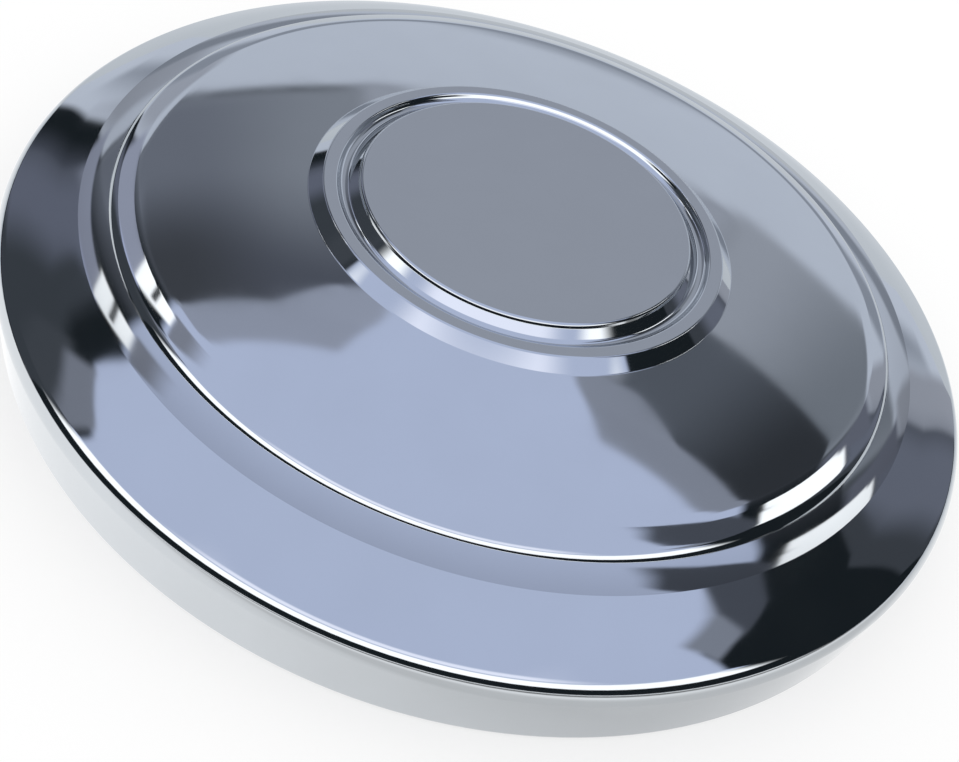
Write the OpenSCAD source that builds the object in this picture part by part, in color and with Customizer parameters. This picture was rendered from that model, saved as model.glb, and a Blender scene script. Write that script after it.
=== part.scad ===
// Domed chrome hubcap, pressed from one sheet of steel.
// The section is one path on the show side of the sheet, from the axis out to the snap hem.
// Every bend is round, and its radius is measured on the inside of the bend.

/* [Sheet] */
// Thickness of the pressed sheet
sheet_t = 0.7; // [0.5:0.1:1]

/* [Rolled rim and skirt] */
// Widest diameter, over the rolled rim
cap_d = 260; // [250:1:300]
// Bend radius of the rolled rim
rim_r = 4.8; // [2:0.1:5.4]
// Height of the widest circle above the surface that the cap stands on
skirt_h = 17; // [14:0.5:22]
// Angle of the skirt, leaning inwards from the vertical
skirt_lean = 8; // [3:1:14]

/* [Snap hem] */
// Width of the sheet's turned-in edge, from skirt to mouth
hem_w = 4.4; // [4:0.1:6]
// Bend radius at the bottom of the hem
hem_r = 1.1; // [0.6:0.1:1.2]
// Height of the straight mouth wall above its bend
hem_h = 5; // [4:0.5:7]

/* [Flange] */
// Radial width of the flange, from the band's edge to the widest circle
flange_w = 18.7; // [15:0.1:24]
// Mean slope of the flange
flange_slope = 26; // [23:1:32]
// Turn of the flange's slope from its inner to its outer half
flange_crown = 6; // [1:1:10]

/* [Band between flange and dome] */
// Radial width of the band, from the step's foot to the flange
band_w = 7; // [5:0.1:9]
// Mean slope of the band
band_slope = 16.5; // [12:0.5:19]
// Turn of the band's slope from its inner to its outer half
band_crown = 8; // [1:1:8]
// Bend radius along the band's edge on the flange
band_edge_r = 1; // [0.5:0.5:10]

/* [Step round the dome] */
// Height of the short wall between shoulder and band
step_h = 1.3; // [0.7:0.1:1.8]
// Slope of the wall
step_slope = 57; // [44:1:70]
// Bend radius along the wall's upper edge
step_edge_r = 3.6; // [0.1:0.1:4]
// Bend radius in the wall's foot
step_foot_r = 0.2; // [0.1:0.1:1]

/* [Shoulder of the dome] */
// Radial width of the shoulder, from the dome's edge to the step
shoulder_w = 6.4; // [5:0.1:10]
// Mean slope of the shoulder
shoulder_slope = 20; // [17:1:26]
// Turn of the shoulder's slope from its inner to its outer half
shoulder_crown = 4; // [1:1:8]
// Bend radius where dome and shoulder meet
dome_edge_bend_r = 18; // [4:1:24]

/* [Dome] */
// Height that the dome gains from its shoulder to the centre ring
dome_rise = 4.6; // [3.5:0.1:8]
// Turn of the dome's slope from its inner to its outer half
dome_crown = 5; // [2:1:8]

/* [Centre ring] */
// Radial width of the ring's flat top, from the groove to the outer wall
ring_top_w = 3.5; // [1.2:0.1:6]
// Radial width of the ring's outer wall
ring_wall_w = 3.4; // [2.8:0.1:4.5]
// Height of the ring above the dome
ring_h = 2.7; // [2.4:0.1:3.4]
// Bend radius at the ring's inner edge
ring_lip_r = 0.1; // [0.1:0.1:0.6]
// Bend radius at the ring's outer edge
ring_edge_r = 0.2; // [0.1:0.1:0.9]
// Bend radius in the ring's foot on the dome
ring_foot_r = 0.6; // [0.3:0.1:1.4]

/* [Centre disc] */
// Diameter of the raised flat disc
disc_d = 88; // [80:0.1:92]
// Height of the disc above the ring
disc_h = 1.5; // [1:0.1:2]
// Bend radius at the disc's edge
disc_edge_r = 0.2; // [0.1:0.1:0.4]
// Height of the steep wall right under the disc's edge
disc_wall_h = 1; // [0.7:0.1:1.3]
// Slope of that steep wall
disc_wall_slope = 64; // [54:1:70]
// Radial width of the groove round the disc
groove_w = 5.9; // [5.4:0.1:7.4]
// Depth of the groove below the ring
groove_depth = 1.7; // [1.2:0.1:2]
// Slope of the groove's wall under the steep one
groove_disc_slope = 42; // [38:1:50]
// Slope of the groove's wall under the ring's inner edge
groove_ring_slope = 58; // [46:1:66]
// Bend radius at each side of the groove's floor
groove_floor_r = 2; // [0.5:0.1:2.2]

/* [Hidden] */
$fn = 180;
// Largest turn and largest distance between two points of a bend
ARC_STEP = 6;
ARC_RUN = 4;
// Corners that turn less than this stay one point
LEAST_TURN = 0.2;
// Share of a long slope's half that the blend with its other half takes
BLEND_SHARE = 0.9;
// Bend radius in the foot of the steep wall under the disc's edge
DISC_WALL_FOOT_R = 0.4;
// Share of the straight run between two corners that a bend may take at most
WALL_SHARE = 0.95;

cap_r = cap_d / 2;
disc_r = disc_d / 2;
groove_r = disc_r + groove_w;
ring_r = groove_r + ring_top_w + ring_wall_w;

// Show-side radius of a bend that has the show side on its outside
function outside(r) = r + sheet_t;
function along(a) = [cos(a), sin(a)];
function left_of(v) = [-v.y, v.x];
function unit(v) = v / norm(v);
function turn_between(u, v) = atan2(u.x * v.y - u.y * v.x, u * v);
// Radius that blends two halves of a slope, each as wide as given, which turns by the crown between them
function blend(half_w, crown) = BLEND_SHARE * half_w / tan(crown / 2);

// Corner at which the flange's and the skirt's lines meet outside the rolled rim
rim_mid = (90 - flange_slope - flange_crown / 2 - skirt_lean) / 2;
rim_half = 90 - flange_slope - flange_crown / 2 - rim_mid;
rim_bend_w = outside(rim_r) * tan(rim_half);
rim_corner = [cap_r - outside(rim_r), skirt_h] + outside(rim_r) / cos(rim_half) * along(rim_mid);

// Edge of each form of the top, worked inwards and upwards from the rim
flange_top_slope = flange_slope - flange_crown / 2;
band_edge_turn = flange_top_slope - band_slope - band_crown / 2;
band_edge_bend_w = outside(band_edge_r) * tan(abs(band_edge_turn) / 2);
flange_mid_r = rim_corner.x - flange_w / 2;
flange_mid_z = rim_corner.y + flange_w / 2 * tan(flange_slope + flange_crown / 2);
band_edge_at = cap_r - flange_w;
band_edge_z = flange_mid_z + (flange_mid_r - band_edge_at) * tan(flange_top_slope);
band_mid_r = band_edge_at - band_w / 2;
band_mid_z = band_edge_z + band_w / 2 * tan(band_slope + band_crown / 2);
band_top_slope = band_slope - band_crown / 2;
step_foot_at = band_edge_at - band_w;
step_foot_z = band_mid_z + band_w / 2 * tan(band_top_slope);
step_foot_w = step_foot_r * tan((step_slope - band_top_slope) / 2);
step_edge_at = step_foot_at - step_h / tan(step_slope);
step_edge_z = step_foot_z + step_h;
step_wall_w = step_h / sin(step_slope) - step_foot_w;
step_edge_half = (step_slope - shoulder_slope - shoulder_crown / 2) / 2;
step_edge_bend_r = min(outside(step_edge_r), WALL_SHARE * step_wall_w / tan(step_edge_half));
step_edge_bend_w = step_edge_bend_r * tan(step_edge_half);
shoulder_mid_r = step_edge_at - shoulder_w / 2;
shoulder_mid_z = step_edge_z + shoulder_w / 2 * tan(shoulder_slope + shoulder_crown / 2);
dome_edge_at = step_edge_at - shoulder_w;
dome_edge_z = shoulder_mid_z + shoulder_w / 2 * tan(shoulder_slope - shoulder_crown / 2);
dome_slope = atan(dome_rise / (dome_edge_at - ring_r));
dome_mid_r = (ring_r + dome_edge_at) / 2;
dome_mid_z = dome_edge_z + dome_rise - (dome_mid_r - ring_r) * tan(dome_slope - dome_crown / 2);
dome_edge_turn = shoulder_slope - shoulder_crown / 2 - dome_slope - dome_crown / 2;
dome_edge_bend_w = dome_edge_bend_r * tan(abs(dome_edge_turn) / 2);
shoulder_blend_r = blend(shoulder_w / 2 - max(dome_edge_bend_w, step_edge_bend_w), shoulder_crown);
ring_foot_z = dome_edge_z + dome_rise;
ring_z = ring_foot_z + ring_h;
disc_z = ring_z + disc_h;
groove_z = ring_z - groove_depth;
disc_wall_w = disc_wall_h / tan(disc_wall_slope);
groove_disc_w = (disc_h + groove_depth - disc_wall_h) / tan(groove_disc_slope);
groove_ring_w = groove_depth / tan(groove_ring_slope);

// Bend at each side of the groove's floor, as large as its walls and its floor leave room for
groove_disc_run = groove_disc_w / cos(groove_disc_slope)
    - DISC_WALL_FOOT_R * tan((disc_wall_slope - groove_disc_slope) / 2);
groove_ring_run = groove_ring_w / cos(groove_ring_slope) - outside(ring_lip_r) * tan(groove_ring_slope / 2);
groove_floor_run = groove_w - disc_wall_w - groove_disc_w - groove_ring_w;
groove_bend_max_r = WALL_SHARE * min(
    groove_disc_run / tan(groove_disc_slope / 2),
    groove_ring_run / tan(groove_ring_slope / 2),
    groove_floor_run / (tan(groove_disc_slope / 2) + tan(groove_ring_slope / 2))
);
groove_bend_r = min(groove_floor_r, groove_bend_max_r);

// Mouth of the hem, which snaps over the wheel
skirt_foot_r = rim_corner.x - rim_corner.y * tan(skirt_lean);
mouth_r = skirt_foot_r - hem_w;
hem_top_z = outside(hem_r) + hem_h;

// Corners of the show side: [radius, height, bend radius]
CORNERS = [
    [0, disc_z, 0],
    [disc_r, disc_z, outside(disc_edge_r)],
    [disc_r + disc_wall_w, disc_z - disc_wall_h, DISC_WALL_FOOT_R],
    [disc_r + disc_wall_w + groove_disc_w, groove_z, groove_bend_r],
    [groove_r - groove_ring_w, groove_z, groove_bend_r],
    [groove_r, ring_z, outside(ring_lip_r)],
    [ring_r - ring_wall_w, ring_z, outside(ring_edge_r)],
    [ring_r, ring_foot_z, ring_foot_r],
    [dome_mid_r, dome_mid_z, blend(dome_mid_r - ring_r - dome_edge_bend_w, dome_crown)],
    [dome_edge_at, dome_edge_z, dome_edge_bend_r],
    [shoulder_mid_r, shoulder_mid_z, shoulder_blend_r],
    [step_edge_at, step_edge_z, step_edge_bend_r],
    [step_foot_at, step_foot_z, step_foot_r],
    [band_mid_r, band_mid_z, blend(band_w / 2 - max(step_foot_w, band_edge_bend_w), band_crown)],
    [band_edge_at, band_edge_z, outside(band_edge_r)],
    [flange_mid_r, flange_mid_z, blend(flange_w / 2 - rim_bend_w, flange_crown)],
    [rim_corner.x, rim_corner.y, outside(rim_r)],
    [skirt_foot_r, 0, outside(hem_r)],
    [mouth_r, 0, outside(hem_r)],
    [mouth_r, hem_top_z, 0]
];

function at(i) = [CORNERS[i].x, CORNERS[i].y];

// Points of one bend, each with the outward direction of the sheet there
function bend(i) =
    let (
        into = unit(at(i) - at(i - 1)),
        out = unit(at(i + 1) - at(i)),
        turn = turn_between(into, out),
        side = sign(turn),
        radius = CORNERS[i].z,
        start = at(i) - into * radius * tan(abs(turn) / 2),
        centre = start + left_of(into) * radius * side,
        steps = max(2, ceil(abs(turn) / ARC_STEP), ceil(radius * abs(turn) * PI / 180 / ARC_RUN)),
        heading = atan2(left_of(into).y, left_of(into).x)
    )
    abs(turn) < LEAST_TURN ? [[at(i), left_of(into)]] : [
        for (k = [0:steps])
            let (face = along(heading + turn * k / steps))
            [centre - face * radius * side, face]
    ];

LAST = len(CORNERS) - 1;
PATH = concat(
    [[at(0), [0, 1]]],
    [for (i = [1:LAST - 1]) each bend(i)],
    [[at(LAST), [-1, 0]]]
);

function show_side() = [for (p = PATH) p[0]];
function back_side() = [for (k = [len(PATH) - 1:-1:0]) PATH[k][0] - sheet_t * PATH[k][1]];

// The whole cap: disc, groove, ring, dome, shoulder, step, band, flange, rolled rim, skirt and snap hem
module hubcap() {
    color([0.72, 0.75, 0.8])
        rotate_extrude()
            polygon(concat(show_side(), back_side()));
}

hubcap();
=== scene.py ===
import math

import bpy
from mathutils import Matrix, Vector


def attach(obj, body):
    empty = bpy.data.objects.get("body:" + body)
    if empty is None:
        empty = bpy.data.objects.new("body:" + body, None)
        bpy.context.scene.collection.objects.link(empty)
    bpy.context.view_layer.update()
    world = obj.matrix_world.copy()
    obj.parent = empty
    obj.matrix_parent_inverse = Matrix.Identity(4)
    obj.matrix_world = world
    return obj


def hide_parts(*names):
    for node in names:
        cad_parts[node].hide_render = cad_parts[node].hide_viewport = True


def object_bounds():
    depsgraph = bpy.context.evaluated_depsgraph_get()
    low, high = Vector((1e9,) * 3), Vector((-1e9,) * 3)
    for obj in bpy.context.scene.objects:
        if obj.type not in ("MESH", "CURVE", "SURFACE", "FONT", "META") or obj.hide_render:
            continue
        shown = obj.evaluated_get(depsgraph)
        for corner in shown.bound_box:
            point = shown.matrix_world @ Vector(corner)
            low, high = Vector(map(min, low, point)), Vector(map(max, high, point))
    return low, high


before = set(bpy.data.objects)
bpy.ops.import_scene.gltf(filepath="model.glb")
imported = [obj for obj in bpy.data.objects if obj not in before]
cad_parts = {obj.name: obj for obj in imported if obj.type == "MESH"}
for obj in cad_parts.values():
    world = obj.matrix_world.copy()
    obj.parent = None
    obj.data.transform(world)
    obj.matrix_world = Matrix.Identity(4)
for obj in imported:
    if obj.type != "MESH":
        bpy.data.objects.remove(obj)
cad_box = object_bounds()


# The cap is one disc of steel, 0.7 mm thick, pressed into steps and then turned in at its edge.
# Its section is drawn once, from the axis out to the snap hem, as corners with round bends.
# The section is then spun about the axis, and the sheet gets its thickness on the back.
sheet_t = 0.0007
cap_r = (cad_box[1].x - cad_box[0].x) / 2
rim_r = 0.0048 + sheet_t
widest_z = 0.017
skirt_lean = 8
hem_w = 0.0044
hem_r = 0.0011 + sheet_t
hem_h = 0.005
flange_w = 0.0187
flange_slopes = (23, 29)
band_w = 0.007
band_slopes = (12.5, 20.5)
band_bend_r = 0.042
band_edge_r = 0.001 + sheet_t
step_h = 0.0013
step_slope = 57
step_edge_r = 0.0036 + sheet_t
step_foot_r = 0.0002
shoulder_w = 0.0064
shoulder_slopes = (18, 22)
shoulder_bend_r = 0.05
dome_edge_r = 0.018
dome_rise = 0.0046
dome_crown = 5
dome_bend_r = 0.4
ring_top_w = 0.0035
ring_wall_w = 0.0034
ring_h = 0.0027
ring_lip_r = 0.0001 + sheet_t
ring_edge_r = 0.0002 + sheet_t
ring_foot_r = 0.0006
disc_r = 0.044
disc_h = 0.0015
disc_edge_r = 0.0002 + sheet_t
disc_wall_h = 0.001
disc_wall_slope = 64
disc_wall_foot_r = 0.0004
groove_w = 0.0059
groove_depth = 0.0017
groove_disc_slope = 42
groove_ring_slope = 58
groove_floor_r = 0.002
flange_bend_r = 0.09


def slope(degrees):
    return math.tan(math.radians(degrees))


def along(degrees):
    return Vector((math.cos(math.radians(degrees)), math.sin(math.radians(degrees))))


# Corner outside the rolled rim, where the lines of flange and skirt meet
rim_half = (90 - flange_slopes[1] + skirt_lean) / 2
rim_centre = Vector((cap_r - rim_r, widest_z))
rim_corner = rim_centre + along(rim_half - skirt_lean) * rim_r / math.cos(math.radians(rim_half))
skirt_foot_r = rim_corner.x - rim_corner.y * slope(skirt_lean)
mouth_r = skirt_foot_r - hem_w

# Corners of the top, from the rim inwards
flange_mid = rim_corner + Vector((-1, slope(flange_slopes[1]))) * flange_w / 2
band_edge_at = cap_r - flange_w
band_edge = Vector((band_edge_at, flange_mid.y + (flange_mid.x - band_edge_at) * slope(flange_slopes[0])))
band_mid = band_edge + Vector((-1, slope(band_slopes[1]))) * band_w / 2
step_foot = band_mid + Vector((-1, slope(band_slopes[0]))) * band_w / 2
step_edge = step_foot + Vector((-1 / slope(step_slope), 1)) * step_h
shoulder_mid = step_edge + Vector((-1, slope(shoulder_slopes[1]))) * shoulder_w / 2
dome_edge = shoulder_mid + Vector((-1, slope(shoulder_slopes[0]))) * shoulder_w / 2
groove_r = disc_r + groove_w
ring_r = groove_r + ring_top_w + ring_wall_w
ring_foot = Vector((ring_r, dome_edge.y + dome_rise))
dome_slope = math.degrees(math.atan(dome_rise / (dome_edge.x - ring_r)))
dome_mid_r = (ring_r + dome_edge.x) / 2
dome_mid = Vector((dome_mid_r, ring_foot.y - (dome_mid_r - ring_r) * slope(dome_slope - dome_crown / 2)))
ring_z = ring_foot.y + ring_h
disc_z = ring_z + disc_h
groove_z = ring_z - groove_depth
disc_wall_foot = Vector((disc_r + disc_wall_h / slope(disc_wall_slope), disc_z - disc_wall_h))
groove_floor_from = disc_wall_foot.x + (disc_wall_foot.y - groove_z) / slope(groove_disc_slope)
groove_floor_to = groove_r - groove_depth / slope(groove_ring_slope)

# Each corner of the show side is its radius, its height and the radius of its bend
corners = [
    (0, disc_z, 0),
    (disc_r, disc_z, disc_edge_r),
    (*disc_wall_foot, disc_wall_foot_r),
    (groove_floor_from, groove_z, groove_floor_r),
    (groove_floor_to, groove_z, groove_floor_r),
    (groove_r, ring_z, ring_lip_r),
    (ring_r - ring_wall_w, ring_z, ring_edge_r),
    (*ring_foot, ring_foot_r),
    (*dome_mid, dome_bend_r),
    (*dome_edge, dome_edge_r),
    (*shoulder_mid, shoulder_bend_r),
    (*step_edge, step_edge_r),
    (*step_foot, step_foot_r),
    (*band_mid, band_bend_r),
    (*band_edge, band_edge_r),
    (*flange_mid, flange_bend_r),
    (*rim_corner, rim_r),
    (skirt_foot_r, 0, hem_r),
    (mouth_r, 0, hem_r),
    (mouth_r, hem_r + hem_h, 0),
]

# The points along a bend are at most this turn and this run apart
bend_step = math.radians(3)
bend_run = 0.003


def bend(before, corner, after):
    """Points of the round bend at one corner, as far apart as bend_step and bend_run allow."""
    here = Vector(corner[:2])
    into = (here - Vector(before[:2])).normalized()
    out = (Vector(after[:2]) - here).normalized()
    turn = math.atan2(into.cross(out), into.dot(out))
    radius = corner[2]
    start = here - into * radius * math.tan(abs(turn) / 2)
    side = math.copysign(radius, turn)
    centre = start + Vector((-into.y, into.x)) * side
    steps = math.ceil(max(abs(turn) / bend_step, radius * abs(turn) / bend_run, 2))
    arm = start - centre
    return [centre + Matrix.Rotation(turn * k / steps, 2) @ arm for k in range(steps + 1)]


path = [Vector(corners[0][:2])]
for before, corner, after in zip(corners, corners[1:], corners[2:]):
    path += bend(before, corner, after)
path.append(Vector(corners[-1][:2]))

steps_round_axis = 192
weld_within = 1e-6
crisp_from = math.radians(40)

bpy.ops.object.select_all(action="DESELECT")
bpy.ops.mesh.primitive_plane_add(size=sheet_t)
cap = bpy.context.object
cap.name = "hubcap_shell"
bpy.ops.object.mode_set(mode="EDIT")
bpy.ops.mesh.merge(type="CENTER")
bpy.ops.transform.translate(value=(0, 0, disc_z))
for here, there in zip(path, path[1:]):
    step = (there.x - here.x, 0, there.y - here.y)
    bpy.ops.mesh.extrude_region_move(TRANSFORM_OT_translate={"value": step})
bpy.ops.mesh.select_all(action="SELECT")
bpy.ops.mesh.spin(steps=steps_round_axis, angle=2 * math.pi, center=(0, 0, 0), axis=(0, 0, 1))
bpy.ops.mesh.select_all(action="SELECT")
bpy.ops.mesh.remove_doubles(threshold=weld_within)
bpy.ops.mesh.normals_make_consistent(inside=False)
bpy.ops.object.mode_set(mode="OBJECT")

sheet = cap.modifiers.new("sheet", "SOLIDIFY")
sheet.thickness = sheet_t
sheet.offset = -1
sheet.use_even_offset = True
sheet.material_offset = 1
sheet.material_offset_rim = 1
bpy.ops.object.modifier_apply(modifier=sheet.name)
bpy.ops.object.shade_smooth_by_angle(angle=crisp_from)
polish = cap.modifiers.new("polish", "WEIGHTED_NORMAL")
polish.mode = "FACE_AREA"
polish.keep_sharp = True
bpy.ops.object.modifier_apply(modifier=polish.name)


# The show side is bright chrome on nickel, polished before the plating. Pressing leaves the sheet
# very slightly wavy, and handling leaves a faint haze, so the gloss isn't quite even.
haze_scale = 55
haze_detail = 6
haze_shows = (0.35, 0.75)
haze_shade = 0.94
wave_scale = 28


def plated(name, colour, roughness, haze, wave_height):
    """A metal finish: colour, lowest roughness, what the haze adds to it, and height of the waves."""
    material = bpy.data.materials.new(name)
    material.use_nodes = True
    nodes = material.node_tree.nodes
    link = material.node_tree.links.new
    shader = nodes["Principled BSDF"]
    shader.inputs["Metallic"].default_value = 1
    place = nodes.new("ShaderNodeTexCoord")

    clouds = nodes.new("ShaderNodeTexNoise")
    clouds.inputs["Scale"].default_value = haze_scale
    clouds.inputs["Detail"].default_value = haze_detail
    link(place.outputs["Object"], clouds.inputs["Vector"])
    gloss = nodes.new("ShaderNodeMapRange")
    gloss.inputs["From Min"].default_value = haze_shows[0]
    gloss.inputs["From Max"].default_value = haze_shows[1]
    gloss.inputs["To Min"].default_value = roughness
    gloss.inputs["To Max"].default_value = roughness + haze
    link(clouds.outputs["Fac"], gloss.inputs["Value"])
    link(gloss.outputs["Result"], shader.inputs["Roughness"])

    tone = nodes.new("ShaderNodeMix")
    tone.data_type = "RGBA"
    tone.inputs["A"].default_value = (*colour, 1)
    tone.inputs["B"].default_value = (*(haze_shade * c for c in colour), 1)
    link(clouds.outputs["Fac"], tone.inputs["Factor"])
    link(tone.outputs["Result"], shader.inputs["Base Color"])

    waves = nodes.new("ShaderNodeTexNoise")
    waves.inputs["Scale"].default_value = wave_scale
    waves.inputs["Detail"].default_value = 1
    link(place.outputs["Object"], waves.inputs["Vector"])
    ripple = nodes.new("ShaderNodeBump")
    ripple.inputs["Distance"].default_value = wave_height
    link(waves.outputs["Fac"], ripple.inputs["Height"])
    link(ripple.outputs["Normal"], shader.inputs["Normal"])
    return material


def painted_band_shade(material, inner_r, outer_r, inner_shade, outer_shade):
    """Paints shade on the plate between two radii: darkens the band's colour, from inner_shade to
    outer_shade, in place of the darker reflection there.
    """
    nodes = material.node_tree.nodes
    link = material.node_tree.links.new
    place = nodes.new("ShaderNodeTexCoord")
    flat = nodes.new("ShaderNodeVectorMath")
    flat.operation = "MULTIPLY"
    flat.inputs[1].default_value = (1, 1, 0)
    link(place.outputs["Object"], flat.inputs[0])
    radius = nodes.new("ShaderNodeVectorMath")
    radius.operation = "LENGTH"
    link(flat.outputs["Vector"], radius.inputs[0])
    shade = nodes.new("ShaderNodeMapRange")
    shade.inputs["From Min"].default_value = inner_r
    shade.inputs["From Max"].default_value = outer_r
    shade.inputs["To Min"].default_value = inner_shade
    shade.inputs["To Max"].default_value = outer_shade
    link(radius.outputs["Value"], shade.inputs["Value"])
    on_band = nodes.new("ShaderNodeMath")
    on_band.operation = "COMPARE"
    on_band.inputs[1].default_value = (inner_r + outer_r) / 2
    on_band.inputs[2].default_value = (outer_r - inner_r) / 2
    link(radius.outputs["Value"], on_band.inputs[0])
    amount = nodes.new("ShaderNodeMix")
    amount.inputs["A"].default_value = 1
    link(on_band.outputs[0], amount.inputs["Factor"])
    link(shade.outputs["Result"], amount.inputs["B"])
    darkened = nodes.new("ShaderNodeVectorMath")
    darkened.operation = "SCALE"
    colour_input = nodes["Principled BSDF"].inputs["Base Color"]
    link(colour_input.links[0].from_socket, darkened.inputs[0])
    link(amount.outputs["Result"], darkened.inputs["Scale"])
    link(darkened.outputs["Vector"], colour_input)


chrome_colour = (0.56, 0.59, 0.62)
back_colour = (0.42, 0.42, 0.41)
chrome = plated("polished_chrome", chrome_colour, roughness=0.03, haze=0.05, wave_height=0.00002)
# Painted shade: the band between the step and the flange is darkened, more towards its outer edge.
painted_band_shade(chrome, step_foot.x, band_edge.x, inner_shade=0.9, outer_shade=0.76)
back = plated("dull_back", back_colour, roughness=0.28, haze=0.12, wave_height=0.00008)
cap.data.materials.append(chrome)
cap.data.materials.append(back)
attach(cap, "root")
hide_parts("hubcap")


# The cap lies on a sheet of white studio board, large enough to fill the view.
# It is matt, and only the soft shadow under the rolled rim shows on it.
board_w = 12
board_white = (0.98, 0.98, 0.98)
bpy.ops.object.select_all(action="DESELECT")
bpy.ops.mesh.primitive_plane_add(size=board_w)
board = bpy.context.object
board.name = "studio_board"
board_paint = bpy.data.materials.new("white_board")
board_paint.use_nodes = True
board_shader = board_paint.node_tree.nodes["Principled BSDF"]
board_shader.inputs["Base Color"].default_value = (*board_white, 1)
board_shader.inputs["Roughness"].default_value = 0.8
board_shader.inputs["Specular IOR Level"].default_value = 0
board_nodes = board_paint.node_tree.nodes
board_link = board_paint.node_tree.links.new

# The metal mirrors the board's own light: pale at the camera's left, dim at its right where the cap
# keeps the light off, and dark further out. Each tone stands at a distance towards the near right.
near_right = math.radians(32)
near_tones = [
    (0.06, 1.0),
    (0.095, 0.9),
    (0.12, 0.75),
    (0.132, 0.6),
    (0.16, 0.6),
    (0.2, 0.95),
    (0.26, 0.9),
    (0.3, 0.08),
]
board_place = board_nodes.new("ShaderNodeTexCoord")
toward = board_nodes.new("ShaderNodeVectorMath")
toward.operation = "DOT_PRODUCT"
toward.inputs[1].default_value = (math.sin(near_right), -math.cos(near_right), 0)
board_link(board_place.outputs["Object"], toward.inputs[0])
near_place = board_nodes.new("ShaderNodeMapRange")
near_place.inputs["From Min"].default_value = near_tones[0][0]
near_place.inputs["From Max"].default_value = near_tones[-1][0]
board_link(toward.outputs["Value"], near_place.inputs["Value"])
near_board = board_nodes.new("ShaderNodeValToRGB")
stops = near_board.color_ramp.elements
while len(stops) < len(near_tones):
    stops.new(0.5)
for stop, (at, tone) in zip(stops, near_tones):
    stop.position = (at - near_tones[0][0]) / (near_tones[-1][0] - near_tones[0][0])
    stop.color = (tone, tone, tone, 1)
board_link(near_place.outputs["Result"], near_board.inputs[0])

# From the middle of the cap to beyond it, the board turns to a cool grey that the far flange mirrors:
# painted shade for the light falling off away from the cap, seen only by the metal.
beyond_cap = (-0.03, 0.12)
beyond_tone = (0.508, 0.546, 0.592)
board_axes = board_nodes.new("ShaderNodeSeparateXYZ")
board_link(board_place.outputs["Object"], board_axes.inputs[0])
beyond = board_nodes.new("ShaderNodeMapRange")
beyond.inputs["From Min"].default_value = beyond_cap[0]
beyond.inputs["From Max"].default_value = beyond_cap[1]
board_link(board_axes.outputs["Y"], beyond.inputs["Value"])
mirrored = board_nodes.new("ShaderNodeMix")
mirrored.data_type = "RGBA"
board_link(beyond.outputs["Result"], mirrored.inputs["Factor"])
board_link(near_board.outputs["Color"], mirrored.inputs["A"])
mirrored.inputs["B"].default_value = (*beyond_tone, 1)

# The camera sees the board's own light white, mixed with the board's paint, and so its shadow is faint.
# The metal sees it in the tones above, with a little less of the paint.
own_strength = 1.3
camera_tone = (0.79, 0.79, 0.79)
camera_share = 0.62
mirror_share = 0.75
seen_by = board_nodes.new("ShaderNodeLightPath")
board_tone = board_nodes.new("ShaderNodeMix")
board_tone.data_type = "RGBA"
board_tone.inputs["A"].default_value = (*camera_tone, 1)
board_link(seen_by.outputs["Is Glossy Ray"], board_tone.inputs["Factor"])
board_link(mirrored.outputs["Result"], board_tone.inputs["B"])
own_light = board_nodes.new("ShaderNodeEmission")
own_light.inputs["Strength"].default_value = own_strength
board_link(board_tone.outputs["Result"], own_light.inputs["Color"])
for_camera = board_nodes.new("ShaderNodeMath")
for_camera.operation = "MULTIPLY"
for_camera.inputs[1].default_value = camera_share
board_link(seen_by.outputs["Is Camera Ray"], for_camera.inputs[0])
share = board_nodes.new("ShaderNodeMath")
share.operation = "MULTIPLY_ADD"
share.inputs[1].default_value = mirror_share
board_link(seen_by.outputs["Is Glossy Ray"], share.inputs[0])
board_link(for_camera.outputs[0], share.inputs[2])
glow_mix = board_nodes.new("ShaderNodeMixShader")
board_link(share.outputs[0], glow_mix.inputs[0])
board_link(board_shader.outputs[0], glow_mix.inputs[1])
board_link(own_light.outputs[0], glow_mix.inputs[2])
board_link(glow_mix.outputs[0], board_nodes["Material Output"].inputs["Surface"])
board.data.materials.append(board_paint)


# The light is a plain white tent of cloth, hung round the board, which it lights evenly at full white.
# Only the polished metal sees the tent's panels: a cool roof, grey walls and black gaps between them.
# Azimuth 0 is the far side as the camera looks, 90 its right, and elevation is above the board.
roof = (0.693, 0.769, 1.005)
white = (1.85, 1.85, 1.85)
black = (0.014, 0.019, 0.023)
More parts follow.
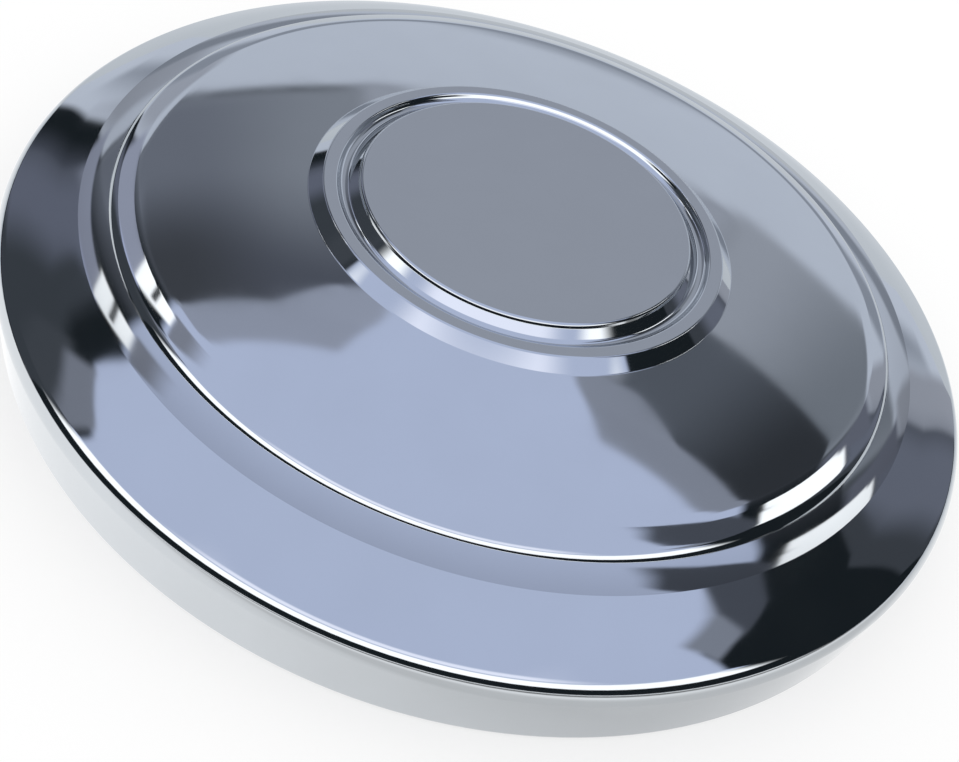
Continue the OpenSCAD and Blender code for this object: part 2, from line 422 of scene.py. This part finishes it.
# A panel is two azimuths and the softness of its sides, two elevations and the softness of its lower
# and upper edge, its lean in azimuth for each degree of elevation, and its colour. Angles are in
# degrees, and each panel hangs in front of those before it.
panels = [
    # the roof, lower at the sides than ahead
    (-180, 180, 0, 50.5, 95, 2, 1, 0, roof),
    (-103, -73, 2, 47.5, 54, 1.5, 1, 0, roof),
    (94, 266, 2, 40, 54, 2, 1, 0, roof),
    # the far side: its pale foot, then the walls on both sides of a grey middle
    (-41.5, 43, 1.5, -12, 27.5, 1, 1.5, 0, (0.721, 0.769, 0.877)),
    (-36, 36, 8, 5, 13, 4, 3, 0, (0.358, 0.39, 0.457)),
    (-40, -26, 5, 12, 22, 3, 4, 0, (0.498, 0.525, 0.601)),
    (36.5, 43.5, 2, -12, 24, 1, 4, 0, (0.432, 0.451, 0.515)),
    (-14, 14, 4, 27, 47, 2, 1, 0, (0.453, 0.48, 0.553)),
    (-41.5, -13, 2, 28, 50.5, 2, 1, 0, (0.322, 0.346, 0.397)),
    (-45, -21, 14, 28, 50, 4, 1, 0, (0.215, 0.232, 0.28)),
    (-42, -11, 2, 42, 50, 11, 1, 0, (0.113, 0.123, 0.155)),
    (-46, -25, 14, 41, 50, 10, 1, 0, (0.073, 0.079, 0.093)),
    (13, 41, 3, 26, 39, 2, 0.8, 0, (0.453, 0.48, 0.545)),
    (23, 42, 14, 26, 39, 3, 0.8, 0, (0.255, 0.278, 0.318)),
    (13, 43, 2, 38.8, 49.7, 0.8, 1, 0, (0.133, 0.148, 0.178)),
    (25, 47, 14, 38.8, 50, 0.8, 1, 0, (0.043, 0.048, 0.057)),
    (-38, -9, 3, 50.2, 54.2, 0.8, 1.2, 0, (0.439, 0.473, 0.585)),
    (-14, -2, 1.5, 47, 50.7, 0.8, 0.8, -2.5, (0.453, 0.488, 0.601)),
    (9, 44, 3, 49.7, 53.4, 0.8, 1.2, 0, (0.346, 0.371, 0.45)),
    (2, 15, 1.5, 47, 50.2, 0.8, 0.8, 3, (0.358, 0.384, 0.464)),
    (-5.2, 6, 1.5, 45.8, 55.5, 1, 1, -1.15, roof),
    (-6, 5.5, 1.5, 45.8, 55.5, 1, 1, 1.45, roof),
    (-9, 9, 1.5, 45.8, 52, 1, 1, 0, roof),
    # the left: pale cloth, a window with one bar, and dark walls beyond
    (-96, -48.5, 1.5, 3, 41, 2, 4, 0, (0.063, 0.072, 0.085)),
    (-60, -48.5, 9, 3, 34, 2, 4, 0, (0.176, 0.191, 0.25)),
    (-91, -72, 3, 33, 43, 5, 3, 0, (0.078, 0.087, 0.102)),
    (-92, -75, 3, 41.5, 48, 3, 1.5, 0, (0.276, 0.294, 0.353)),
    (-48, -39, 1.5, 22, 43, 3, 3, -0.7, (0.439, 0.466, 0.585)),
    (-58, -54, 3, 34, 43, 5, 1.5, -0.7, (0.612, 0.667, 0.918)),
    (-60, -51, 1.5, 42.3, 51.5, 1, 1, -0.3, white),
    (-60, -50, 1.5, 46.5, 47.8, 0.6, 0.6, -0.3, black),
    (-68, -52, 3, 51.8, 57, 1, 5, 0, (0.322, 0.34, 0.41)),
    # the right: a lit window leaning over dark walls
    (43, 64, 1.5, 3, 35, 2, 1, 0, (0.066, 0.074, 0.088)),
    (43.5, 56, 7, 3, 31, 2, 3, 0, (0.188, 0.204, 0.259)),
    (39.5, 45.5, 2, 24, 38, 2, 3, 0.3, (0.18, 0.191, 0.24)),
    (47, 53.5, 1.2, 31.5, 47, 1, 1, 0.75, white),
    (47.5, 52.5, 1.2, 33, 46.5, 1, 1, 0.4, white),
    (73, 94, 3, 47.5, 54, 1.5, 3, 0, (0.31, 0.334, 0.403)),
    (62, 84, 3, 47, 63, 1, 4, -0.9, (0.094, 0.104, 0.13)),
    # the near side, over the camera
    (99, 262, 10, 25, 44, 3, 4, 0, white),
    (130, 230, 24, 48, 60, 6, 8, 0, (1.345, 1.37, 1.562)),
    (95, 265, 12, -8, 2, 1, 4, 0, (1.429, 1.425, 1.45)),
]

world = bpy.data.worlds.new("white_tent")
bpy.context.scene.world = world
world.use_nodes = True
tent = world.node_tree.nodes
join = world.node_tree.links.new
tent.clear()


def figure(operation, *values):
    """A Math node, each of its values a number or another node's output."""
    node = tent.new("ShaderNodeMath")
    node.operation = operation
    for slot, value in zip(node.inputs, values):
        if isinstance(value, (int, float)):
            slot.default_value = value
        else:
            join(value, slot)
    return node.outputs[0]


def ramp(value, nothing_at, full_at):
    """0 to 1 with soft ends, as value goes from nothing_at to full_at."""
    node = tent.new("ShaderNodeMapRange")
    node.interpolation_type = "SMOOTHSTEP"
    node.inputs["From Min"].default_value = nothing_at
    node.inputs["From Max"].default_value = full_at
    join(value, node.inputs["Value"])
    return node.outputs["Result"]


direction = tent.new("ShaderNodeTexCoord")
axes = tent.new("ShaderNodeSeparateXYZ")
join(direction.outputs["Generated"], axes.inputs[0])
azimuth = figure("DEGREES", figure("ARCTAN2", axes.outputs["X"], axes.outputs["Y"]))
elevation = figure("DEGREES", figure("ARCSINE", axes.outputs["Z"]))

# A side with no softness still gets a ramp of this width
least_soft = 0.01

seen = None
for left, right, side_soft, low, high, low_soft, high_soft, lean, colour in panels:
    off_middle = figure("SUBTRACT", azimuth, (left + right) / 2)
    if lean:
        slant = figure("MULTIPLY", figure("SUBTRACT", elevation, low), lean)
        off_middle = figure("SUBTRACT", off_middle, slant)
    off_middle = figure("ABSOLUTE", figure("WRAP", off_middle, 180, -180))
    half = (right - left) / 2
    across = ramp(off_middle, half + side_soft / 2 + least_soft, half - side_soft / 2)
    from_below = ramp(elevation, low - low_soft / 2, low + low_soft / 2)
    from_above = ramp(elevation, high + high_soft / 2, high - high_soft / 2)
    blend = tent.new("ShaderNodeMix")
    blend.data_type = "RGBA"
    join(figure("MULTIPLY", across, figure("MULTIPLY", from_below, from_above)), blend.inputs["Factor"])
    blend.inputs["A"].default_value = (*black, 1)
    if seen:
        join(seen, blend.inputs["A"])
    blend.inputs["B"].default_value = (*colour, 1)
    seen = blend.outputs["Result"]

plain = tent.new("ShaderNodeBackground")
plain.inputs["Color"].default_value = (1, 1, 1, 1)
panelled = tent.new("ShaderNodeBackground")
join(seen, panelled.inputs["Color"])
ray = tent.new("ShaderNodeLightPath")
cloth = tent.new("ShaderNodeMixShader")
join(ray.outputs["Is Glossy Ray"], cloth.inputs[0])
join(plain.outputs["Background"], cloth.inputs[1])
join(panelled.outputs["Background"], cloth.inputs[2])
output = tent.new("ShaderNodeOutputWorld")
join(cloth.outputs[0], output.inputs["Surface"])


# The camera looks down on the cap from 39 degrees, rolled as the photograph is.
# Its distance, lens and shift put the widest circle where the photograph has it.
picture_w = 959
focal_pixels = 1491
shift_pixels = Vector((-22.3, -100.4))
distance = 3.094 * cap_r
looks_down = math.radians(39.21)
roll = math.radians(19.72)
middle = Vector((0, 0, widest_z))
forward = Vector((0, math.cos(looks_down), -math.sin(looks_down)))
upright = Vector((1, 0, 0)).cross(forward)
right_side = Vector((math.cos(roll), 0, 0)) + upright * math.sin(roll)
turned = Matrix((right_side, right_side.cross(forward), -forward)).transposed().to_4x4()
bpy.ops.object.camera_add()
camera = bpy.context.object
camera.matrix_world = Matrix.Translation(middle - forward * distance) @ turned
camera.data.sensor_width = 36
camera.data.lens = focal_pixels * camera.data.sensor_width / picture_w
camera.data.shift_x = shift_pixels.x / picture_w
camera.data.shift_y = shift_pixels.y / picture_w
bpy.context.scene.camera = camera
bpy.context.scene.view_settings.view_transform = "Standard"
